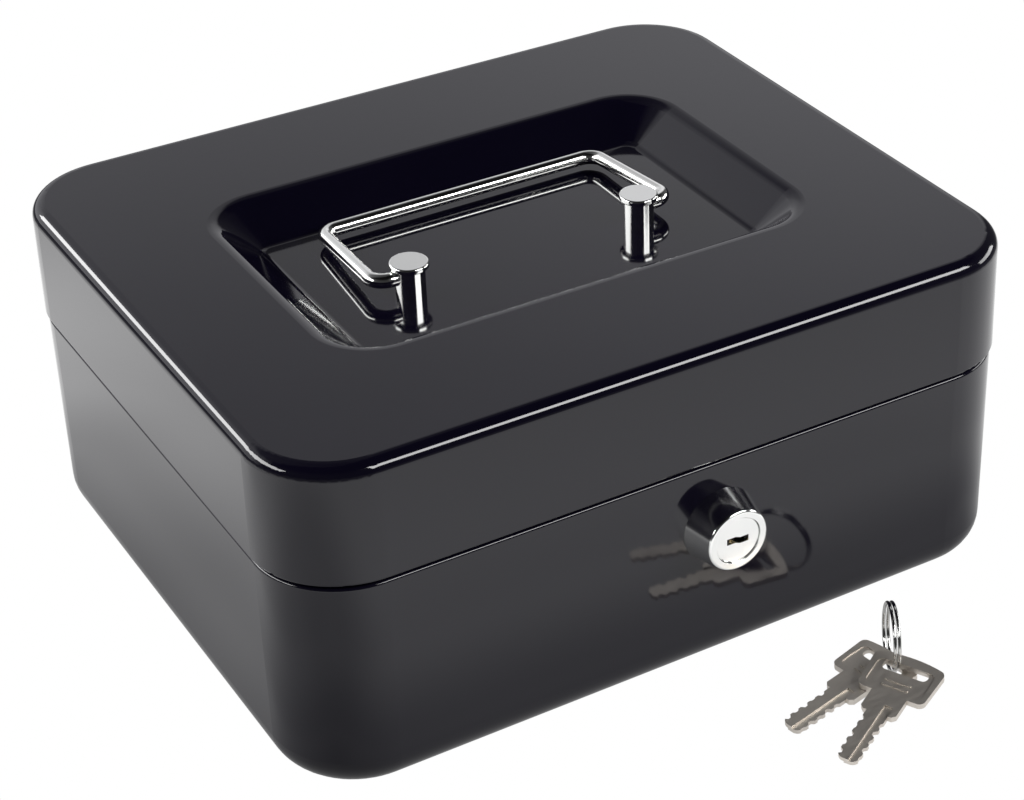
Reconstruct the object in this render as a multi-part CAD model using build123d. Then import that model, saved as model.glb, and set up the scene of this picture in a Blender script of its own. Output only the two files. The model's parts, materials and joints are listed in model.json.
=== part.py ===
from build123d import *
import os
from math import cos, degrees, radians, sin

# Small steel cash box: a pressed tub and a hinged lid with a sunk top, a folding
# wire handle, a cam lock with two keys, and a lift-out coin tray.
# Millimetres. Origin: centre of the base's resting face. +X right, +Y back, +Z up.

# ---- driving dimensions
WIDTH, DEPTH, HEIGHT = 200.0, 167.0, 90.0      # outside of the closed lid
CORNER = 22.5                                  # plan corner radius of the lid
SHEET = 0.9                                    # steel sheet
SEAM_LOW, SEAM_HIGH = 58.7, 59.5               # top of the tub's shoulder, lower edge of the lid
LID_DRAFT = 0.7                                # degrees
LID_TOP_RADIUS = 3.5
HEM_HEIGHT, HEM_THICK, HEM_RADIUS = 5.0, 1.8, 0.8
TUB_INSET = 0.6                                # tub wall stands this far inside the lid's edge
TUB_BOTTOM_RADIUS = 9.5
RIM_STEP, RIM_TOP = 2.6, 66.5                  # tub rim that goes up inside the lid

RECESS_HALF = (65.2, 41.5)                     # sharp edge of the sunk top, half sizes
RECESS_CORNER, RECESS_SLOPE = 14.0, 50.8
RECESS_FLOOR = 81.2
RECESS_RIM_RADIUS, RECESS_FOOT_RADIUS = 5.5, 3.0

POST_X, POST_Y = 32.3, -9.3
POST_RADIUS, POST_HEAD_RADIUS = 3.9, 4.9
POST_TOP, POST_HEAD_THICK = 89.95, 1.4
POST_SCREW_RADIUS, POST_SCREW_DEPTH = 1.95, 2.6
WIRE_RADIUS = 1.85
BAIL_PIVOT_Z = 86.3
BAIL_ARM_X, BAIL_GRIP_X = 41.4, 39.6
BAIL_GRIP_Y, BAIL_GRIP_Z, BAIL_BEND = 25.0, 84.1, 4.2

HINGE_X, HINGE_LENGTH = 55.0, 32.0
HINGE_Y, HINGE_Z = 84.2, 59.1
KNUCKLE_RADIUS, PIN_RADIUS = 2.0, 1.0
KNUCKLE_LENGTH, LEAF_THICK = 11.4, 1.0
RIVET_RADIUS, RIVET_HEAD_RADIUS = 1.5, 2.8
RIVET_OFFSET, TUB_RIVET_Z, LID_RIVET_Z = 10.0, 48.0, 70.0

LOCK_X, LOCK_Z = 9.0, 41.0
LOCK_BASE_RADIUS, LOCK_FACE_RADIUS, LOCK_STAND_OUT = 10.0, 8.0, 8.0
BARREL_RADIUS, BARREL_FLAT, BARREL_END = 7.8, 6.9, -68.5
PLUG_RADIUS, PLUG_TAIL_RADIUS, PLUG_STEP = 6.15, 5.15, -72.0
WAFER_COUNT, WAFER_PITCH, WAFER_FIRST = 5, 2.8, -88.0
CAM_FRONT, CAM_THICK, CAM_REACH = -67.8, 1.6, 24.0
SQUARE = 5.0

TRAY_FRONT, TRAY_BACK, TRAY_BOTTOM = -60.0, 78.2, 38.0
TRAY_HALF_X, TRAY_WALL, TRAY_LIP = 94.4, 1.6, 2.0

KEY_THICK, KEY_BOW, KEY_BOW_HALF = 1.6, 11.7, 9.3
KEY_SHANK, KEY_SHANK_HALF = 6.5, 4.6
KEY_BLADE, KEY_BLADE_HALF = 15.0, 2.7
KEY_SLOT, KEY_SLOT_X, KEY_RELIEF = (2.8, 12.0), 3.0, 0.3
KEY_CROWN, KEY_BORDER = 1.3, 1.5
RING_RADIUS, RING_WIRE = 8.4, 0.55

RUN = 0.05                                     # radial clearance of a running fit
FRONT = -DEPTH / 2
BACK = DEPTH / 2
TUB_FRONT = FRONT + TUB_INSET
TUB_BACK = BACK - TUB_INSET


# ---- helpers
def box(x0, x1, y0, y1, z0, z1):
    size = Box(x1 - x0, y1 - y0, z1 - z0)
    return Pos((x0 + x1) / 2, (y0 + y1) / 2, (z0 + z1) / 2) * size


def cylinder_x(radius, x0, x1, y, z):
    return Pos((x0 + x1) / 2, y, z) * Rot(0, 90, 0) * Cylinder(radius, x1 - x0)


def cylinder_y(radius, y0, y1, x=LOCK_X, z=LOCK_Z):
    return Pos(x, (y0 + y1) / 2, z) * Rot(90, 0, 0) * Cylinder(radius, y1 - y0)


def cylinder_z(radius, z0, z1, x, y):
    return Pos(x, y, (z0 + z1) / 2) * Cylinder(radius, z1 - z0)


def shell_block(inset, z0, z1, draft=0.0):
    """Upright block with the box's rounded outline, inset from the lid's lower edge."""
    outline = RectangleRounded(WIDTH - 2 * inset, DEPTH - 2 * inset, CORNER - inset)
    return extrude(Pos(0, 0, z0) * outline, amount=z1 - z0, taper=draft)


def edges_at(solid, height, half_x=1000.0, half_y=1000.0):
    """Edges lying at one height, within a centred rectangle."""
    level = solid.edges().filter_by_position(Axis.Z, height - 0.01, height + 0.01)
    return [e for e in level if abs(e.center().X) < half_x and abs(e.center().Y) < half_y]


# ---- tub and lid
def body_tub():
    """Pressed tub: rounded bottom edge, shoulder at the seam, stepped-in upper rim."""
    outer = shell_block(TUB_INSET, 0, SEAM_LOW)
    outer = fillet(edges_at(outer, 0), TUB_BOTTOM_RADIUS)
    outer = fillet(edges_at(outer, SEAM_LOW), 0.8)
    rim_inset = TUB_INSET + RIM_STEP
    rim = shell_block(rim_inset, SEAM_LOW - SHEET, RIM_TOP)
    cavity = shell_block(TUB_INSET + SHEET, SHEET, SEAM_LOW - SHEET)
    cavity = fillet(edges_at(cavity, SHEET), TUB_BOTTOM_RADIUS - SHEET)
    mouth = shell_block(rim_inset + SHEET, SEAM_LOW - 2 * SHEET, RIM_TOP + 1)
    tub = outer + rim - cavity - mouth
    tub -= lock_hole()
    for side in (-1, 1):
        tub -= hinge_notch(side, TUB_BACK - RIM_STEP + 0.1, HINGE_Z - KNUCKLE_RADIUS - 0.5, SEAM_HIGH)
        for place in rivet_places(side, TUB_RIVET_Z):
            tub -= cylinder_y(RIVET_RADIUS + RUN, TUB_BACK - 2, TUB_BACK + 2, *place)
    return tub


def lock_hole():
    """Hole in the front wall with two flats that keep the lock from turning."""
    hole = cylinder_y(BARREL_RADIUS + 0.1, FRONT - 1, FRONT + 4)
    flat = BARREL_FLAT + 0.1
    return hole & box(LOCK_X - 10, LOCK_X + 10, FRONT - 2, FRONT + 5, LOCK_Z - flat, LOCK_Z + flat)


def hinge_notch(side, y_from, z0, z1):
    half = HINGE_LENGTH / 2 + 0.6
    x = side * HINGE_X
    return box(x - half, x + half, y_from, BACK + 3, z0, z1)


def rivet_places(side, z):
    return [(side * HINGE_X + dx, z) for dx in (-RIVET_OFFSET, RIVET_OFFSET)]


def recess_pocket(grow, top, rim_radius, foot_radius):
    """Tapered pocket of the sunk top, grown outward by a sheet thickness if asked."""
    slope = radians(RECESS_SLOPE)
    drop = HEIGHT - top
    widen = grow / cos(slope) - drop * sin(slope) / cos(slope)
    half_x, half_y = RECESS_HALF[0] + widen, RECESS_HALF[1] + widen
    outline = RectangleRounded(2 * half_x, 2 * half_y, RECESS_CORNER + widen)
    depth = top - (RECESS_FLOOR - grow)
    pocket = extrude(Pos(0, 0, top) * outline, amount=-depth, taper=RECESS_SLOPE)
    return fillet(edges_at(pocket, top - depth), foot_radius), (half_x, half_y), rim_radius


def sunk_block(inset, low, top, edge_radius, pocket_data, bottom_radius=None):
    """Lid-shaped block with the recess pressed into its top."""
    pocket, half, rim_radius = pocket_data
    block = shell_block(inset, low, top, LID_DRAFT)
    block = fillet(edges_at(block, top), edge_radius)
    if bottom_radius:
        block = fillet(edges_at(block, low), bottom_radius)
    block = block - pocket
    return fillet(edges_at(block, top, half[0] + 0.5, half[1] + 0.5), rim_radius)


def lid_shell():
    """Pressed lid: hemmed lower edge, rounded top edge, sunk top for the handle."""
    outer_pocket = recess_pocket(0, HEIGHT, RECESS_RIM_RADIUS, RECESS_FOOT_RADIUS)
    inner_pocket = recess_pocket(SHEET, HEIGHT - SHEET, RECESS_RIM_RADIUS - SHEET,
                                 RECESS_FOOT_RADIUS + SHEET)
    outer = sunk_block(0, SEAM_HIGH, HEIGHT, LID_TOP_RADIUS, outer_pocket, HEM_RADIUS)
    inner = sunk_block(SHEET, SEAM_HIGH, HEIGHT - SHEET, LID_TOP_RADIUS - SHEET, inner_pocket)
    hem = shell_block(SHEET, SEAM_HIGH, SEAM_HIGH + HEM_HEIGHT)
    hem -= shell_block(HEM_THICK, SEAM_HIGH - 1, SEAM_HIGH + HEM_HEIGHT + 1)
    lid = outer - (inner - hem)
    for side in (-1, 1):
        lid -= hinge_notch(side, BACK - SHEET - 0.6, SEAM_HIGH - 1, HINGE_Z + KNUCKLE_RADIUS + 1.3)
        half = HINGE_LENGTH / 2 + 0.6
        x = side * HINGE_X
        lid -= box(x - half, x + half, BACK - 4, BACK - SHEET - 0.1, SEAM_HIGH - 1,
                   SEAM_HIGH + HEM_HEIGHT + 0.1)
        lid -= cylinder_z(POST_SCREW_RADIUS + 0.2, RECESS_FLOOR - 3, RECESS_FLOOR + 2,
                          side * POST_X, POST_Y)
        for place in rivet_places(side, LID_RIVET_Z):
            lid -= cylinder_y(RIVET_RADIUS + RUN, BACK - 3, BACK + 2, *place)
    return lid


# ---- hinges
def knuckle_spans(side, of_lid):
    """X ranges of the knuckles: the lid has the middle one, the tub the outer two."""
    x, half, mid = side * HINGE_X, HINGE_LENGTH / 2, KNUCKLE_LENGTH / 2
    if of_lid:
        return [(x - mid, x + mid)]
    return [(x - half, x - mid - 0.3), (x + mid + 0.3, x + half)]


def hinge_leaf(side, of_lid):
    """Leaf with rolled knuckles, riveted to the inside of the back wall."""
    x, half = side * HINGE_X, HINGE_LENGTH / 2
    if of_lid:
        outside = BACK - SHEET - 0.25
        web = (HINGE_Z + KNUCKLE_RADIUS - LEAF_THICK, HINGE_Z + KNUCKLE_RADIUS)
        plate = (HINGE_Z + KNUCKLE_RADIUS + 1.5, 77.0)
        neck = (web[0], plate[1])
        rivet_z = LID_RIVET_Z
    else:
        outside = TUB_BACK - SHEET
        web = (HINGE_Z - KNUCKLE_RADIUS, HINGE_Z - KNUCKLE_RADIUS + LEAF_THICK)
        plate = (41.0, web[1])
        neck = (plate[0], web[1])
        rivet_z = TUB_RIVET_Z
    inside = outside - LEAF_THICK
    leaf = box(x - half, x + half, inside, outside, *plate)
    leaf = fillet(leaf.edges().filter_by(Axis.Y), 0.45)
    for x0, x1 in knuckle_spans(side, of_lid):
        leaf += box(x0, x1, inside, outside, *neck)
        leaf += box(x0, x1, inside, HINGE_Y, *web)
        leaf += cylinder_x(KNUCKLE_RADIUS, x0, x1, HINGE_Y, HINGE_Z)
    leaf -= cylinder_x(PIN_RADIUS + RUN, x - half - 1, x + half + 1, HINGE_Y, HINGE_Z)
    for place in rivet_places(side, rivet_z):
        leaf -= cylinder_y(RIVET_RADIUS + RUN, inside - 1, outside + 1, *place)
    return leaf


def hinge_pin(side):
    """Pin with a peened head at each end."""
    x, half = side * HINGE_X, HINGE_LENGTH / 2
    pin = cylinder_x(PIN_RADIUS, x - half - 0.1, x + half + 0.1, HINGE_Y, HINGE_Z)
    for end in (-1, 1):
        start = x + end * (half + 0.1)
        x0, x1 = sorted((start, start + end * 0.4))
        pin += cylinder_x(PIN_RADIUS + 0.5, x0, x1, HINGE_Y, HINGE_Z)
    return pin


def rivet(x, z, inner, outer):
    """Rivet through wall and leaf, with a domed head outside and a flat one inside."""
    head = cylinder_y(RIVET_HEAD_RADIUS, outer, outer + 1.2, x, z)
    rim = head.edges().filter_by_position(Axis.Y, outer + 1.19, outer + 1.21)
    head = fillet(rim, 1.0)
    tail = cylinder_y(RIVET_HEAD_RADIUS - 0.3, inner - 0.8, inner, x, z)
    return head + cylinder_y(RIVET_RADIUS, inner - 0.1, outer + 0.1, x, z) + tail


def rivet_group(z, inner, outer):
    places = [place for side in (-1, 1) for place in rivet_places(side, z)]
    return Compound(children=[rivet(x, height, inner, outer) for x, height in places])


# ---- handle
def handle_post(side):
    """Turned post with a flat head, a cross hole for the bail and a tapped foot."""
    x = side * POST_X
    post = cylinder_z(POST_RADIUS, RECESS_FLOOR, POST_TOP - 0.2, x, POST_Y)
    head = cylinder_z(POST_HEAD_RADIUS, POST_TOP - POST_HEAD_THICK, POST_TOP, x, POST_Y)
    head = fillet(edges_at(head, POST_TOP), 0.45)
    post += fillet(edges_at(head, POST_TOP - POST_HEAD_THICK), 0.3)
    hole_start = x - side * 1.8
    x0, x1 = sorted((hole_start, x + side * (POST_HEAD_RADIUS + 1)))
    post -= cylinder_x(WIRE_RADIUS + RUN, x0, x1, POST_Y, BAIL_PIVOT_Z)
    foot_top = RECESS_FLOOR + POST_SCREW_DEPTH + 0.3
    return post - cylinder_z(POST_SCREW_RADIUS + RUN, RECESS_FLOOR - 1, foot_top, x, POST_Y)


def post_washers():
    under = RECESS_FLOOR - SHEET
    rings = []
    for side in (-1, 1):
        disc = cylinder_z(4.6, under - 0.8, under, side * POST_X, POST_Y)
        rings.append(disc - cylinder_z(POST_SCREW_RADIUS + 0.15, under - 2, under + 1,
                                       side * POST_X, POST_Y))
    return Compound(children=rings)


def post_screws():
    """Pan-head screws with a cross recess, up through the lid into the posts."""
    seat = RECESS_FLOOR - SHEET - 0.8
    screws = []
    for side in (-1, 1):
        x = side * POST_X
        head = cylinder_z(3.6, seat - 2.4, seat, x, POST_Y)
        head = fillet(edges_at(head, seat - 2.4), 0.9)
        for half_x, half_y in ((2.0, 0.45), (0.45, 2.0)):
            head -= box(x - half_x, x + half_x, POST_Y - half_y, POST_Y + half_y,
                        seat - 2.5, seat - 1.2)
        shank_top = RECESS_FLOOR + POST_SCREW_DEPTH
        screws.append(head + cylinder_z(POST_SCREW_RADIUS, seat - 0.1, shank_top, x, POST_Y))
    return Compound(children=screws)


def bail_handle():
    """One bent wire: inward ends in the posts, two arms and the grip bar."""
    end = POST_X - 1.3
    near = (POST_Y, BAIL_PIVOT_Z)
    far = (BAIL_GRIP_Y, BAIL_GRIP_Z)
    points = [(-end, *near), (-BAIL_ARM_X, *near), (-BAIL_GRIP_X, *far),
              (BAIL_GRIP_X, *far), (BAIL_ARM_X, *near), (end, *near)]
    path = FilletPolyline(*points, radius=BAIL_BEND)
    section = Plane(origin=points[0], z_dir=(-1, 0, 0)) * Circle(WIRE_RADIUS)
    return sweep(section, path=path)


# ---- lock
def keyway_outline(clearance):
    """Stepped slot outline, its length along X and its height along Z."""
    half, step, offset = KEY_BLADE_HALF + clearance, 0.6, 0.25
    thick = (KEY_THICK - 2 * offset) / 2 + clearance
    upper = [(-half, offset + thick), (-step, offset + thick), (step, -offset + thick),
             (half, -offset + thick)]
    lower = [(-x, -z) for x, z in upper]
    return upper + lower


def lock_housing():
    """Chromed housing: tapered head outside, flatted barrel through the wall."""
    face = TUB_FRONT - LOCK_STAND_OUT
    length = LOCK_STAND_OUT
    cone = Cone(LOCK_BASE_RADIUS, LOCK_FACE_RADIUS, length)
    head = Pos(LOCK_X, TUB_FRONT - length / 2, LOCK_Z) * Rot(90, 0, 0) * cone
    rim = head.edges().filter_by_position(Axis.Y, face - 0.01, face + 0.01)
    head = fillet(rim, 0.7)
    barrel = cylinder_y(BARREL_RADIUS, TUB_FRONT - 0.1, BARREL_END)
    barrel &= box(LOCK_X - 10, LOCK_X + 10, TUB_FRONT - 1, BARREL_END + 1,
                  LOCK_Z - BARREL_FLAT, LOCK_Z + BARREL_FLAT)
    housing = head + barrel - cylinder_y(PLUG_RADIUS + RUN, face - 1, PLUG_STEP)
    return housing - cylinder_y(PLUG_TAIL_RADIUS + RUN, PLUG_STEP - 1, BARREL_END + 1)


def wafer_positions():
    return [WAFER_FIRST + WAFER_PITCH * i for i in range(WAFER_COUNT)]


def lock_plug():
    """Rotor with keyway, wafer slots, spring pockets and a square tail for the cam."""
    face = TUB_FRONT - LOCK_STAND_OUT + 0.4
    plug = cylinder_y(PLUG_RADIUS, face, PLUG_STEP - RUN)
    rim = plug.edges().filter_by_position(Axis.Y, face - 0.01, face + 0.01)
    plug = fillet(rim, 0.4)
    plug += cylinder_y(PLUG_TAIL_RADIUS, PLUG_STEP - 1, CAM_FRONT - 0.3)
    half = SQUARE / 2
    plug += box(LOCK_X - half, LOCK_X + half, CAM_FRONT - 1, CAM_FRONT + CAM_THICK - 0.2,
                LOCK_Z - half, LOCK_Z + half)
    plane = Plane(origin=(LOCK_X, face - 1, LOCK_Z), x_dir=(1, 0, 0), z_dir=(0, -1, 0))
    slot = make_face(Polyline(*keyway_outline(0.3), close=True))
    plug -= extrude(plane * slot, amount=-(PLUG_STEP - face))
    for y in wafer_positions():
        plug -= box(LOCK_X - 7, LOCK_X + 7, y - 0.6, y + 0.6, LOCK_Z - 2.3, LOCK_Z + 2.3)
        plug -= box(LOCK_X - 2.3, LOCK_X + 3.3, y - 0.6, y + 0.6, LOCK_Z + 2.0, LOCK_Z + 3.9)
    return plug - cylinder_y(1.25, PLUG_STEP + 0.5, 0, LOCK_X, LOCK_Z)


def lock_wafers():
    """Flat tumblers with a window for the key and a lug for the spring."""
    wafers = []
    for y in wafer_positions():
        plate = box(LOCK_X - 5.7, LOCK_X + 5.7, y - 0.5, y + 0.5, LOCK_Z - 2.2, LOCK_Z + 2.2)
        plate += box(LOCK_X + 2.1, LOCK_X + 3.1, y - 0.5, y + 0.5, LOCK_Z + 2.1, LOCK_Z + 3.7)
        wafers.append(plate - box(LOCK_X - 3.1, LOCK_X + 3.1, y - 1, y + 1,
                                  LOCK_Z - 1.2, LOCK_Z + 1.2))
    return Compound(children=wafers)


def wafer_springs():
    """Small coil springs that push the wafers out when there is no key."""
    springs = []
    for y in wafer_positions():
        coil = Helix(pitch=0.7, height=3.5, radius=0.36)
        wire = Plane(origin=coil @ 0, z_dir=coil % 0) * Circle(0.09)
        spring = sweep(wire, path=coil, is_frenet=True)
        springs.append(Pos(LOCK_X - 1.8, y, LOCK_Z + 3.0) * Rot(0, 90, 0) * spring)
    return Compound(children=springs)


def lock_washer():
    inside = TUB_FRONT + SHEET
    ring = cylinder_y(11.0, inside, inside + 1.0)
    return ring - cylinder_y(BARREL_RADIUS + 0.15, inside - 1, inside + 2)


def lock_nut():
    inside = TUB_FRONT + SHEET + 1.0
    plane = Plane(origin=(LOCK_X, inside, LOCK_Z), x_dir=(1, 0, 0), z_dir=(0, 1, 0))
    nut = extrude(plane * RegularPolygon(10.5, 6, major_radius=False), amount=4.0)
    return nut - cylinder_y(BARREL_RADIUS + RUN, inside - 1, inside + 5)


def lock_cam():
    """Hook-shaped cam, drawn pointing up (locked) and turned aside to its rest."""
    x, z, y0 = LOCK_X, LOCK_Z, CAM_FRONT
    y1 = y0 + CAM_THICK
    cam = cylinder_y(5.5, y0, y1) + box(x - 4, x + 4, y0, y1, z, z + CAM_REACH)
    cam += box(x - 4, x + 12, y0, y1, z + 17.4, z + CAM_REACH)
    corners = cam.edges().filter_by(Axis.Y).filter_by_position(Axis.Z, z + 20, z + 30)
    cam = fillet(corners, 2.0)
    half = SQUARE / 2 + RUN
    cam -= box(x - half, x + half, y0 - 1, y1 + 1, z - half, z + half)
    return Pos(x, 0, z) * Rot(0, -90, 0) * Pos(-x, 0, -z) * cam


def cam_screw():
    seat = CAM_FRONT + CAM_THICK
    head = cylinder_y(4.3, seat, seat + 1.8)
    rim = head.edges().filter_by_position(Axis.Y, seat + 1.79, seat + 1.81)
    head = fillet(rim, 0.7)
    for half_x, half_z in ((1.7, 0.35), (0.35, 1.7)):
        head -= box(LOCK_X - half_x, LOCK_X + half_x, seat + 0.8, seat + 2,
                    LOCK_Z - half_z, LOCK_Z + half_z)
    return head + cylinder_y(1.2, PLUG_STEP + 1.0, seat + 0.1)


def lid_striker():
    """Bent strip inside the lid whose tab the cam's hook goes over."""
    x0, x1 = LOCK_X + 1.5, LOCK_X + 15.5
    wall = FRONT + SHEET + 0.4
    plate_y, low, thick = -73.0, LOCK_Z + 15.0, 1.5
    strip = box(x0, x1, wall, wall + thick, 68.6, 84.0)
    strip += box(x0, x1, wall, plate_y + thick, 68.6, 68.6 + thick)
    strip += box(x0, x1, plate_y, plate_y + thick, low, 68.6 + thick)
    return strip + box(LOCK_X + 6, LOCK_X + 11, plate_y, -65.0, low, low + thick)


# ---- coin tray
def tray_block(inset, z0, z1, corner):
    """Upright block with the tray's outline."""
    size_x = 2 * (TRAY_HALF_X - inset)
    size_y = TRAY_BACK - TRAY_FRONT - 2 * inset
    outline = RectangleRounded(size_x, size_y, corner - inset)
    return extrude(Pos(0, (TRAY_FRONT + TRAY_BACK) / 2, z0) * outline, amount=z1 - z0)


def tray_rows():
    """Front row of coin cups and back row of wider bays, as (count, y0, y1, scoop)."""
    middle = TRAY_FRONT + 71.5
    return ((5, TRAY_FRONT + TRAY_WALL, middle, 11.0),
            (3, middle + TRAY_WALL, TRAY_BACK - TRAY_WALL, 4.0))


def coin_tray():
    """Moulded insert: a lip that hangs on the tub's rim, and rows of compartments."""
    top = RIM_TOP + TRAY_LIP
    tray = tray_block(0, TRAY_BOTTOM, top, 16.0)
    tray = fillet(edges_at(tray, TRAY_BOTTOM), 3.0)
    tray += tray_block(-2.2, RIM_TOP, top, 16.0) & box(-200, 200, TRAY_FRONT, 79.9, 0, 200)
    floor = TRAY_BOTTOM + TRAY_WALL
    inner = tray_block(TRAY_WALL, floor, top + 1, 16.0)
    inner = fillet(edges_at(inner, floor), 2.5)
    span = 2 * (TRAY_HALF_X - TRAY_WALL)
    for count, y0, y1, scoop in tray_rows():
        bay = (span - (count - 1) * TRAY_WALL) / count
        for i in range(count):
            x0 = -span / 2 + i * (bay + TRAY_WALL)
            pocket = box(x0, x0 + bay, y0, y1, floor, top + 1)
            pocket = fillet(edges_at(pocket, floor), scoop)
            tray -= pocket & inner
    return tray


# ---- keys and ring
def key_blank():
    """Flat key: bow from x=-KEY_BOW to 0, shank, then the cut blade along +X."""
    half, top = KEY_BOW_HALF, -KEY_BOW
    outline = Polyline((top, -half), (0, -half + 0.6), (0, half - 0.6), (top, half))
    crown = ThreePointArc((top, half), (top - KEY_CROWN, 0), (top, -half))
    bow = fillet(make_face(outline + crown).vertices(), 1.7)
    shank = Pos(KEY_SHANK / 2, 0) * Rectangle(KEY_SHANK, 2 * KEY_SHANK_HALF)
    shank = chamfer(shank.vertices().group_by(Axis.X)[-1], 0.9)
    blade = Pos(KEY_SHANK + KEY_BLADE / 2, 0) * Rectangle(KEY_BLADE + 2, 2 * KEY_BLADE_HALF)
    blade = fillet(blade.vertices().group_by(Axis.X)[-1], 1.9)
    slot = Pos(top + KEY_SLOT_X, 0) * RectangleRounded(*KEY_SLOT, 1.3)
    return bow, slot, shank + blade


def key_solid():
    """Key with raised bow border, stepped blade section and bitting in both edges."""
    bow, slot, stem = key_blank()
    key = extrude(bow + stem, amount=KEY_THICK) - extrude(slot, amount=KEY_THICK)
    field_size = (KEY_BOW - 2 * KEY_BORDER, 2 * KEY_BOW_HALF - 2.4 * KEY_BORDER)
    field = Pos(-0.5 * KEY_BOW, 0) * RectangleRounded(*field_size, 1.6)
    ribs = [Pos(x, 0) * RectangleRounded(0.7, 7.0, 0.3) for x in (-4.6, -2.9)]
    for level in (0, KEY_THICK - KEY_RELIEF):
        key -= Pos(0, 0, level) * extrude(field - ribs[0] - ribs[1], amount=KEY_RELIEF)
    end = KEY_SHANK + KEY_BLADE + 2
    key -= box(KEY_SHANK - 3, end, 0.6, 4, KEY_THICK - 0.5, KEY_THICK + 1) & box(0, end, 0, 2.75, 0, 3)
    key -= box(KEY_SHANK - 3, end, -4, -0.6, -1, 0.5) & box(0, end, -2.75, 0, 0, 3)
    for i, depth in enumerate((0.5, 0.9, 0.4, 0.7, 0.3)):
        x = KEY_SHANK + 3.0 + i * WAFER_PITCH
        for side in (-1, 1):
            reach = depth if side > 0 else 1.2 - depth
            tip = side * (KEY_BLADE_HALF - reach)
            edge = side * (KEY_BLADE_HALF + 0.2)
            cut = make_face(Polyline((x - 1.2, edge), (x - 0.4, tip), (x + 0.4, tip),
                                     (x + 1.2, edge), close=True))
            key -= Pos(0, 0, -0.5) * extrude(cut, amount=KEY_THICK + 1)
    return key


def key_places():
    """Lie of each key: point under the bow's base, heading, lift of the slot, drop of the tip."""
    return {"key_1": ((30.9, -110.2), 189.4, 2.6), "key_2": ((33.0, -120.3), 207.2, 4.8)}


def placed_key(name):
    """Key with its tip on the ground and its bow carried by the ring."""
    (x, y), heading, lift = key_places()[name]
    reach = KEY_SHANK + KEY_BLADE + KEY_BOW - KEY_SLOT_X
    tilt = lift / reach
    slope = Rot(0, degrees(tilt), 0)
    tip = Pos(-(KEY_SHANK + KEY_BLADE + 1), 0, 0)
    back = Pos(KEY_SHANK + KEY_BLADE + 1, 0, 0.05)
    return Pos(x, y, 0) * Rot(0, 0, heading) * back * slope * tip * key_solid()


def ring_pose():
    """Centre of the standing ring and the level direction in its plane."""
    heading = radians(63.0)
    return (43.2, -106.8, RING_RADIUS + RING_WIRE), (cos(heading), sin(heading), 0)


def key_ring():
    centre, along = ring_pose()
    plane = Plane(origin=centre, x_dir=along, z_dir=(-along[1], along[0], 0))
    return plane * Torus(RING_RADIUS, RING_WIRE)


# ---- output
def save(name, shape):
    export_step(shape, f"parts/{name}.step")


def main():
    os.makedirs("parts", exist_ok=True)
    save("body_tub", body_tub())
    save("lid_shell", lid_shell())
    save("lid_striker", lid_striker())
    for side, word in ((-1, "left"), (1, "right")):
        save(f"hinge_body_leaf_{word}", hinge_leaf(side, of_lid=False))
        save(f"hinge_lid_leaf_{word}", hinge_leaf(side, of_lid=True))
        save(f"hinge_pin_{word}", hinge_pin(side))
        save(f"handle_post_{word}", handle_post(side))
    save("hinge_rivets_body", rivet_group(TUB_RIVET_Z, TUB_BACK - SHEET - LEAF_THICK, TUB_BACK))
    save("hinge_rivets_lid", rivet_group(LID_RIVET_Z, BACK - SHEET - 0.25 - LEAF_THICK, BACK - 0.1))
    save("post_washers", post_washers())
    save("post_screws", post_screws())
    save("bail_handle", bail_handle())
    save("lock_housing", lock_housing())
    save("lock_plug", lock_plug())
    save("lock_wafers", lock_wafers())
    save("wafer_springs", wafer_springs())
    save("lock_washer", lock_washer())
    save("lock_nut", lock_nut())
    save("lock_cam", lock_cam())
    save("cam_screw", cam_screw())
    save("coin_tray", coin_tray())
    save("key_1", placed_key("key_1"))
    save("key_2", placed_key("key_2"))
    save("key_ring", key_ring())


main()
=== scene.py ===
import json
import math

import bpy
from mathutils import Matrix, Vector


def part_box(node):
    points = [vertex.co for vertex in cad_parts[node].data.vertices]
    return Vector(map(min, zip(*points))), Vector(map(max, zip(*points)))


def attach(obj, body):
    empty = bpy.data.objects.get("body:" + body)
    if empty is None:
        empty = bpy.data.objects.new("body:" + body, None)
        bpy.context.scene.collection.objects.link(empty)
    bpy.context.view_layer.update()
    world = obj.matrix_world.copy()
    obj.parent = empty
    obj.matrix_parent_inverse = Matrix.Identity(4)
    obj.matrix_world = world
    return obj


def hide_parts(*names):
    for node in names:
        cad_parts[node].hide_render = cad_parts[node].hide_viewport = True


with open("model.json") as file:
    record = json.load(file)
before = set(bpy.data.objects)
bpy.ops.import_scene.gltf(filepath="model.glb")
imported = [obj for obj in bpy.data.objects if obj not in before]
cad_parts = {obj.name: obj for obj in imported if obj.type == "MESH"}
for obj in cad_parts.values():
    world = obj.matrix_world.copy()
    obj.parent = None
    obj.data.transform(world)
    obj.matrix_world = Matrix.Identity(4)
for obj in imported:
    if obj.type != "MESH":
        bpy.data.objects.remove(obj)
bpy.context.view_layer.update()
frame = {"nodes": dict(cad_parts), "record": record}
scene = bpy.context.scene

# Gloss black cash box with a chrome wire handle, a cam lock and two keys, on a white sweep.
# The frame's nodes keep their shapes; only the key ring is made again, as a split ring.
# Metres, and degrees where a name or a comment says so.

# ---- places taken from the frame
LID_LOW, LID_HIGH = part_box("lid_shell")
CENTRE = (LID_LOW + LID_HIGH) / 2
RING_LOW, RING_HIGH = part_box("key_ring")

# ---- split ring
PLAIN_RING_WIRE = 0.00055                      # wire radius of the ring that it stands for
RING_WIRE, RING_STEP = 0.00045, 0.00053        # wire radius, and half the step between the turns
RING_HEADING, RING_START = 63, 215             # degrees: plane of the ring, place of its first end
RING_GAP = 0.35                                # radians left open at each end of the two turns
RING_STEP_SPAN = 0.3                           # radians either side of the middle that the step takes
RING_RINGS, RING_SIDES = 190, 12

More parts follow.
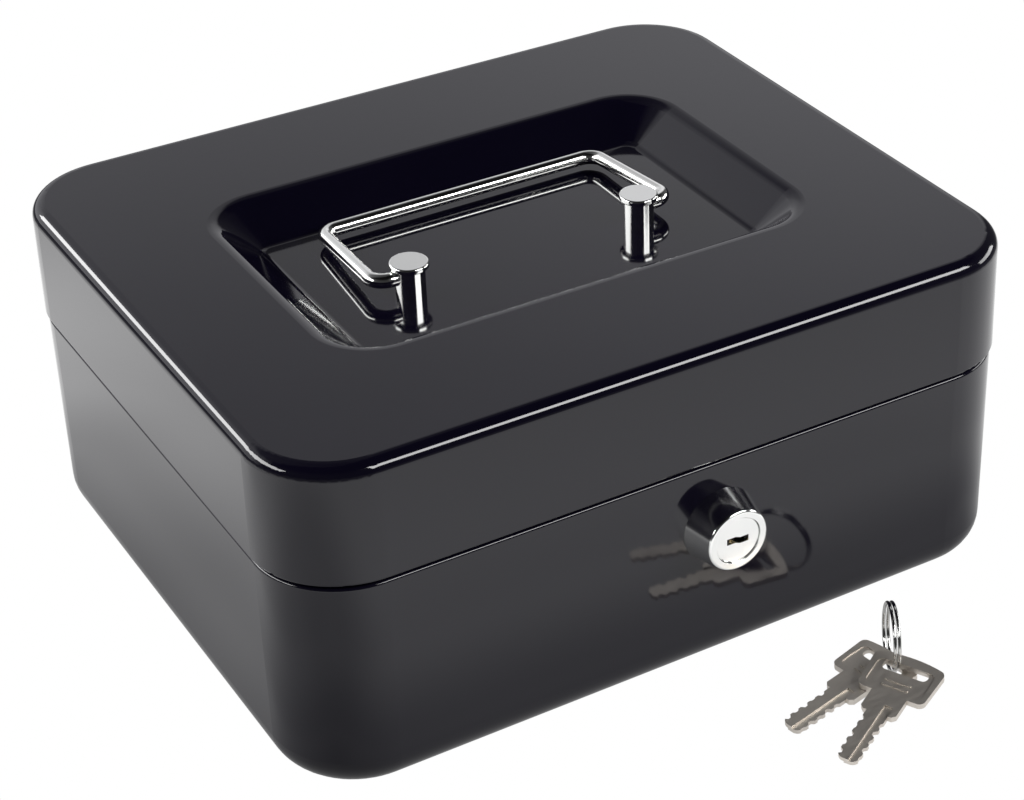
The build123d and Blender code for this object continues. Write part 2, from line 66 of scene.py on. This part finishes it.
# ---- studio: what a mirror sees, as (place, level) pairs
DEGREE = math.pi / 180
SKY_AROUND = ((-math.pi, 0.03), (-75 * DEGREE, 0.05), (-50 * DEGREE, 1.0), (-25 * DEGREE, 1.2),
              (0.0, 0.8), (20 * DEGREE, 0.66), (38 * DEGREE, 0.84), (44 * DEGREE, 0.78),
              (53 * DEGREE, 0.08), (math.pi, 0.03))
SKY_UPWARD = ((-1.0, 1.0), (0.40, 1.0), (0.54, 0.72), (0.62, 0.62), (0.74, 0.12), (1.0, 0.05))
SKY_TINT = (0.97, 0.97, 1.0)
FLOOR_HALF, FLOOR_DROP = 3.0, 0.0003
# The floor's emission, seen only in reflections, holds painted light: a painted pool of light around
# the box, a painted contact shadow against its sides, a painted darker patch and a painted bright
# window patch.
FLOOR_POOL = ((0.0, 1.0), (0.30, 1.0), (0.45, 0.15), (1.0, 0.1))
FLOOR_CONTACT_SHADOW = ((0.0, 0.42), (0.015, 0.55), (0.050, 0.92), (0.090, 1.06), (0.2, 1.06))
SHADE_AT, FLOOR_SHADE = (-0.155, -0.105), ((0.0, 0.62), (0.035, 0.66), (0.110, 1.0), (1.0, 1.0))
WINDOW_AT, FLOOR_WINDOW_LIGHT = (-0.150, 0.130), ((0.0, 0.35), (0.04, 0.30), (0.12, 0.0), (1.0, 0.0))
LIGHT_DISTANCE = 1.5

# ---- camera: degrees, millimetres of lens, and how far the box's middle is off its axis
YAW, PITCH, ROLL = 31.33, -32.29, -0.68
LENS, SENSOR, SHIFT = 89.9, 36.0, -0.125
CAMERA_RIGHT, CAMERA_DOWN, CAMERA_BACK = 0.03236, 0.00878, 0.65747
CLIP_START = 0.01


# ---- node helpers
class Tree:
    """A node tree, with short calls for the nodes used here."""

    def __init__(self, tree):
        self.tree = tree

    def add(self, kind, **values):
        node = self.tree.nodes.new(kind)
        for key, value in values.items():
            setattr(node, key, value)
        return node

    def link(self, source, target):
        self.tree.links.new(source, target)

    def math(self, operation, *terms, clamp=False):
        """Result of a sum on sockets and plain numbers."""
        node = self.add("ShaderNodeMath", operation=operation, use_clamp=clamp)
        for socket, term in zip(node.inputs, terms):
            if isinstance(term, (int, float)):
                socket.default_value = term
            else:
                self.link(term, socket)
        return node.outputs[0]

    def spread(self, value, low, high, to_low, to_high):
        """Maps value from low..high to to_low..to_high, clamped."""
        node = self.add("ShaderNodeMapRange")
        limits = {"From Min": low, "From Max": high, "To Min": to_low, "To Max": to_high}
        for socket, number in limits.items():
            node.inputs[socket].default_value = number
        self.link(value, node.inputs["Value"])
        return node.outputs["Result"]

    def ramp(self, value, points):
        """Smooth steps through (place, level) pairs, for a value over any range."""
        low, high = points[0][0], points[-1][0]
        node = self.add("ShaderNodeValToRGB")
        node.color_ramp.interpolation = "EASE"
        stops = node.color_ramp.elements
        while len(stops) < len(points):
            stops.new(0.5)
        for stop, (place, level) in zip(stops, points):
            stop.position = (place - low) / (high - low)
            stop.color = (level, level, level, 1)
        self.link(self.spread(value, low, high, 0.0, 1.0), node.inputs["Fac"])
        return node.outputs["Color"]

    def camera_or_mirror(self, seen, mirrored):
        """One shader for what the camera sees directly and another for all else."""
        path = self.add("ShaderNodeLightPath")
        mix = self.add("ShaderNodeMixShader")
        self.link(path.outputs["Is Camera Ray"], mix.inputs["Fac"])
        self.link(mirrored.outputs[0], mix.inputs[1])
        self.link(seen.outputs[0], mix.inputs[2])
        return mix.outputs[0]


class Finish(Tree):
    """A material of one Principled shader, driven by noises in object coordinates."""

    def __init__(self, name):
        self.material = bpy.data.materials.new(name)
        self.material.use_nodes = True
        super().__init__(self.material.node_tree)
        self.shader = self.tree.nodes["Principled BSDF"]
        self.place = self.add("ShaderNodeTexCoord").outputs["Object"]

    def stretched(self, scale):
        """Object coordinates scaled by a different amount along each axis."""
        mapping = self.add("ShaderNodeMapping")
        mapping.inputs["Scale"].default_value = scale
        self.link(self.place, mapping.inputs["Vector"])
        return mapping.outputs["Vector"]

    def noise(self, scale, detail=2.0, roughness=0.5, vector=None):
        node = self.add("ShaderNodeTexNoise")
        node.inputs["Scale"].default_value = scale
        node.inputs["Detail"].default_value = detail
        node.inputs["Roughness"].default_value = roughness
        self.link(vector or self.place, node.inputs["Vector"])
        return node.outputs["Fac"]

    def hairlines(self, stretch, scale, threshold):
        """Thin scratches: a noise stretched along one direction, cut to its peaks."""
        fine = self.noise(scale, detail=3.0, roughness=0.6, vector=self.stretched(stretch))
        return self.spread(fine, threshold, threshold + 0.08, 0.0, 1.0)

    def colour(self, factor, dark, light):
        """Base colour between dark and light by factor."""
        node = self.add("ShaderNodeMix", data_type="RGBA")
        node.inputs["A"].default_value = (*dark, 1)
        node.inputs["B"].default_value = (*light, 1)
        self.link(factor, node.inputs["Factor"])
        self.link(node.outputs["Result"], self.shader.inputs["Base Color"])

    def roughness(self, value):
        self.link(value, self.shader.inputs["Roughness"])

    def set(self, **values):
        for key, value in values.items():
            self.shader.inputs[key.replace("_", " ")].default_value = value

    def bump(self, *layers):
        """Stacks bumps, each (height, depth in metres)."""
        normal = None
        for height, depth in layers:
            node = self.add("ShaderNodeBump")
            node.inputs["Distance"].default_value = depth
            node.inputs["Strength"].default_value = 1.0
            self.link(height, node.inputs["Height"])
            if normal is not None:
                self.link(normal, node.inputs["Normal"])
            normal = node.outputs["Normal"]
        self.link(normal, self.shader.inputs["Normal"])


# ---- materials
def enamel():
    """Gloss black stoved enamel: slight orange peel, faint hairlines and handling haze."""
    f = Finish("black_enamel")
    cloud = f.noise(22.0, detail=3.0)
    f.colour(cloud, (0.0022, 0.0016, 0.0066), (0.0038, 0.0030, 0.0088))
    haze = f.spread(cloud, 0.35, 0.7, 0.05, 0.085)
    hair = f.hairlines((1.0, 9.0, 3.0), 260.0, 0.68)
    f.roughness(f.math("ADD", haze, f.math("MULTIPLY", hair, 0.05)))
    f.set(Specular_IOR_Level=0.5, IOR=1.5, Metallic=0.0)
    f.bump((f.noise(420.0, detail=1.0), 0.0000025))
    return f.material


def chrome(name, tint, low, high):
    """Bright plating over turned or drawn metal: cloudy polish, roughness low to high, and pits."""
    f = Finish(name)
    cloud = f.noise(90.0, detail=3.0)
    f.colour(cloud, tuple(0.94 * channel for channel in tint), tint)
    grain = f.math("MULTIPLY", f.noise(900.0, detail=2.0), 0.02)
    f.roughness(f.math("ADD", f.spread(cloud, 0.3, 0.7, low, high), grain))
    f.set(Metallic=1.0)
    f.bump((f.noise(1500.0), 0.0000012))
    return f.material


def plated_steel():
    """Zinc-plated steel: dull and mottled."""
    f = Finish("zinc_steel")
    cloud = f.noise(140.0, detail=4.0, roughness=0.65)
    f.colour(cloud, (0.42, 0.43, 0.44), (0.62, 0.63, 0.64))
    f.roughness(f.spread(cloud, 0.3, 0.7, 0.25, 0.45))
    f.set(Metallic=1.0)
    f.bump((f.noise(900.0), 0.00001))
    return f.material


def key_nickel():
    """Nickel-plated key stock: warm grey, brushed and cloudy."""
    f = Finish("key_nickel")
    cloud = f.noise(160.0, detail=4.0, roughness=0.6)
    f.colour(cloud, (0.62, 0.58, 0.53), (0.76, 0.715, 0.66))
    brushed = f.noise(700.0, detail=3.0, vector=f.stretched((0.35, 1.6, 1.0)))
    f.roughness(f.spread(brushed, 0.3, 0.7, 0.46, 0.60))
    f.set(Metallic=1.0)
    f.bump((brushed, 0.000004), (cloud, 0.000006))
    return f.material


def brass():
    """Brass of the tumblers, seen only through the keyway, its colour darkened to near black as
    painted shade inside the keyway.
    """
    f = Finish("brass")
    cloud = f.noise(300.0, detail=3.0)
    # Painted shade: the brass colour is set near black to stand in for the shade inside the keyway.
    f.colour(cloud, (0.045, 0.031, 0.013), (0.10, 0.074, 0.034))
    f.roughness(f.spread(cloud, 0.3, 0.7, 0.22, 0.4))
    f.set(Metallic=1.0)
    return f.material


def tray_plastic():
    """Moulded polystyrene: fine spark-eroded grain and a soft sheen."""
    f = Finish("tray_plastic")
    f.colour(f.noise(35.0, detail=2.0), (0.018, 0.018, 0.020), (0.030, 0.030, 0.033))
    grain = f.noise(1600.0, detail=2.0)
    f.roughness(f.spread(grain, 0.3, 0.7, 0.38, 0.55))
    f.set(IOR=1.5, Metallic=0.0)
    f.bump((grain, 0.00002))
    return f.material


def dress():
    """Gives every CAD node the finish of its record slot, or its own kind of chrome."""
    finishes = {
        "black_enamel": enamel(),
        "chrome": chrome("chrome", (0.93, 0.935, 0.915), 0.05, 0.10),
        "zinc_steel": plated_steel(),
        "key_nickel": key_nickel(),
        "brass": brass(),
        "tray_plastic": tray_plastic(),
    }
    wire = chrome("chrome wire", (0.95, 0.955, 0.93), 0.09, 0.15)
    lock = chrome("chrome lock", (0.95, 0.955, 0.945), 0.10, 0.17)
    special = {"bail_handle": wire, "lock_housing": lock, "lock_plug": lock}
    for part in frame["record"]["subparts"]:
        mesh = frame["nodes"][part["node"]].data
        mesh.materials.clear()
        mesh.materials.append(special.get(part["node"], finishes[part["material_slot"]]))


# ---- split ring
def ring_route():
    """Middle of the wire by the angle turned: two turns side by side, with one smooth step."""
    centre = (RING_LOW + RING_HIGH) / 2
    radius = (RING_HIGH.z - RING_LOW.z) / 2 - PLAIN_RING_WIRE
    heading = math.radians(RING_HEADING)
    across = Vector((-math.sin(heading), math.cos(heading), 0))
    level = Vector((math.cos(heading), math.sin(heading), 0))
    upright = Vector((0, 0, 1))

    def middle(t):
        step = max(-1.0, min(1.0, (t - 2 * math.pi) / RING_STEP_SPAN))
        aside = RING_STEP * math.sin(step * math.pi / 2)
        a = t + math.radians(RING_START)
        return centre + (level * math.cos(a) + upright * math.sin(a)) * radius + across * aside

    return middle, centre, across


def split_ring():
    """Round wire wound as a key ring, with its two ends drawn thinner."""
    middle, centre, across = ring_route()
    start, end = RING_GAP, 4 * math.pi - RING_GAP
    verts, faces = [], []
    for i in range(RING_RINGS + 1):
        t = start + (end - start) * i / RING_RINGS
        here = middle(t)
        along = (middle(t + 1e-3) - middle(t - 1e-3)).normalized()
        out = (here - centre - across * (here - centre).dot(across)).normalized()
        side = along.cross(out).normalized()
        out = side.cross(along)
        wire = RING_WIRE * min(1.0, 0.55 + 12 * min(i, RING_RINGS - i) / RING_RINGS)
        for k in range(RING_SIDES):
            b = 2 * math.pi * k / RING_SIDES
            verts.append(here + (out * math.cos(b) + side * math.sin(b)) * wire)
    for i in range(RING_RINGS):
        for k in range(RING_SIDES):
            a, b = i * RING_SIDES + k, i * RING_SIDES + (k + 1) % RING_SIDES
            faces.append((a, b, b + RING_SIDES, a + RING_SIDES))
    last = RING_RINGS * RING_SIDES
    faces.append(tuple(range(RING_SIDES))[::-1])
    faces.append(tuple(range(last, last + RING_SIDES)))
    mesh = bpy.data.meshes.new("split_ring")
    mesh.from_pydata(verts, [], faces)
    mesh.polygons.foreach_set("use_smooth", [True] * len(mesh.polygons))
    mesh.materials.append(chrome("chrome ring", (0.62, 0.62, 0.61), 0.08, 0.16))
    ring = bpy.data.objects.new("split_ring", mesh)
    scene.collection.objects.link(ring)
    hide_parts("key_ring")
    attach(ring, "ring")


# ---- studio
def studio_world():
    """White to the camera; in reflections a pale backdrop behind, dark overhead and in front."""
    world = bpy.data.worlds.new("studio")
    scene.world = world
    world.use_nodes = True
    world.node_tree.nodes.clear()
    t = Tree(world.node_tree)
    split = t.add("ShaderNodeSeparateXYZ")
    t.link(t.add("ShaderNodeTexCoord").outputs["Generated"], split.inputs[0])
    azimuth = t.math("ARCTAN2", split.outputs["X"], split.outputs["Y"])
    level = t.math("MULTIPLY", t.ramp(azimuth, SKY_AROUND), t.ramp(split.outputs["Z"], SKY_UPWARD))
    mirrored = t.add("ShaderNodeBackground")
    mirrored.inputs["Color"].default_value = (*SKY_TINT, 1)
    t.link(level, mirrored.inputs["Strength"])
    seen = t.add("ShaderNodeBackground")
    seen.inputs["Color"].default_value = (1, 1, 1, 1)
    out = t.add("ShaderNodeOutputWorld")
    t.link(t.camera_or_mirror(seen, mirrored), out.inputs["Surface"])


def floor_material():
    """White to the camera; in reflections a painted pool of light around the box, dim with painted
    shadow against its sides, plus a painted darker patch and a painted bright window patch.
    """
    material = bpy.data.materials.new("floor")
    material.use_nodes = True
    material.node_tree.nodes.clear()
    t = Tree(material.node_tree)
    place = t.add("ShaderNodeTexCoord").outputs["Object"]
    split = t.add("ShaderNodeSeparateXYZ")
    t.link(place, split.inputs[0])

    def away_from(x, y):
        gap = t.add("ShaderNodeVectorMath", operation="DISTANCE")
        t.link(place, gap.inputs[0])
        gap.inputs[1].default_value = (x, y, 0)
        return gap.outputs["Value"]

    def outside(axis, half_size):
        """Distance beyond the box's side along one axis, or 0."""
        return t.math("SUBTRACT", t.math("ABSOLUTE", split.outputs[axis]), half_size, clamp=True)

    beyond = t.add("ShaderNodeCombineXYZ")
    t.link(outside("X", LID_HIGH.x), beyond.inputs["X"])
    t.link(outside("Y", LID_HIGH.y), beyond.inputs["Y"])
    gap = t.add("ShaderNodeVectorMath", operation="LENGTH")
    t.link(beyond.outputs[0], gap.inputs[0])
    # Painted contact shadow: the reflected floor emission is darker close to the box's sides.
    contact_shadow = t.ramp(gap.outputs["Value"], FLOOR_CONTACT_SHADOW)
    pool = t.math("MULTIPLY", contact_shadow, t.ramp(away_from(0.0, 0.0), FLOOR_POOL))
    # Painted shade: a darker patch in the reflected floor emission.
    glow = t.math("MULTIPLY", pool, t.ramp(away_from(*SHADE_AT), FLOOR_SHADE))
    mirrored = t.add("ShaderNodeEmission")
    # Painted window light: a bright patch added to the reflected floor emission.
    window_light = t.ramp(away_from(*WINDOW_AT), FLOOR_WINDOW_LIGHT)
    t.link(t.math("ADD", glow, window_light), mirrored.inputs["Strength"])
    seen = t.add("ShaderNodeEmission")
    out = t.add("ShaderNodeOutputMaterial")
    t.link(t.camera_or_mirror(seen, mirrored), out.inputs["Surface"])
    return material


def floor():
    """Wide square, a hair below the box's resting face."""
    half = FLOOR_HALF
    corners = [(-half, -half, 0), (half, -half, 0), (half, half, 0), (-half, half, 0)]
    mesh = bpy.data.meshes.new("floor")
    mesh.from_pydata(corners, [], [(0, 1, 2, 3)])
    mesh.materials.append(floor_material())
    sweep = bpy.data.objects.new("floor", mesh)
    scene.collection.objects.link(sweep)
    sweep.location.z = -FLOOR_DROP


def softbox(name, azimuth, elevation, width, height, brightness):
    """Area light aimed at the box, with its place and size as angles in degrees seen from there.

    Azimuth is measured from +Y towards +X. Brightness is the radiance seen in a mirror.
    """
    a, e = math.radians(azimuth), math.radians(elevation)
    away = Vector((math.sin(a) * math.cos(e), math.cos(a) * math.cos(e), math.sin(e)))
    data = bpy.data.lights.new(name, "AREA")
    data.shape = "RECTANGLE"
    data.size = 2 * LIGHT_DISTANCE * math.tan(math.radians(width) / 2)
    data.size_y = 2 * LIGHT_DISTANCE * math.tan(math.radians(height) / 2)
    data.energy = brightness * math.pi * data.size * data.size_y
    light = bpy.data.objects.new(name, data)
    light.location = CENTRE + away * LIGHT_DISTANCE
    light.rotation_mode = "QUATERNION"
    light.rotation_quaternion = away.to_track_quat("Z", "Y")
    light.visible_camera = False
    scene.collection.objects.link(light)


# ---- camera
def camera():
    """Seen from the front left and above, as a product photograph."""
    yaw, pitch, roll = math.radians(YAW), math.radians(PITCH), math.radians(ROLL)
    flat = Vector((math.sin(yaw), math.cos(yaw), 0))
    forward = flat * math.cos(pitch) + Vector((0, 0, math.sin(pitch)))
    level = Vector((math.cos(yaw), -math.sin(yaw), 0))
    above = level.cross(forward)
    right = level * math.cos(roll) + above * math.sin(roll)
    up = above * math.cos(roll) - level * math.sin(roll)
    data = bpy.data.cameras.new("camera")
    data.lens, data.sensor_width = LENS, SENSOR
    data.shift_x = SHIFT
    data.clip_start = CLIP_START
    aim = Vector((0, 0, LID_HIGH.z / 2))
    place = aim + right * CAMERA_RIGHT - up * CAMERA_DOWN - forward * CAMERA_BACK
    view = bpy.data.objects.new("camera", data)
    view.matrix_world = Matrix.Translation(place) @ Matrix((right, up, -forward)).transposed().to_4x4()
    scene.collection.objects.link(view)
    scene.camera = view


dress()
split_ring()
studio_world()
floor()
softbox("front_right", 148, 35, 38, 14, 13)
softbox("left", -59, 25, 70, 14, 10)
softbox("right", 100, 13, 34, 14, 6)
camera()
scene.view_settings.view_transform = "Standard"
scene.cycles.use_denoising = True
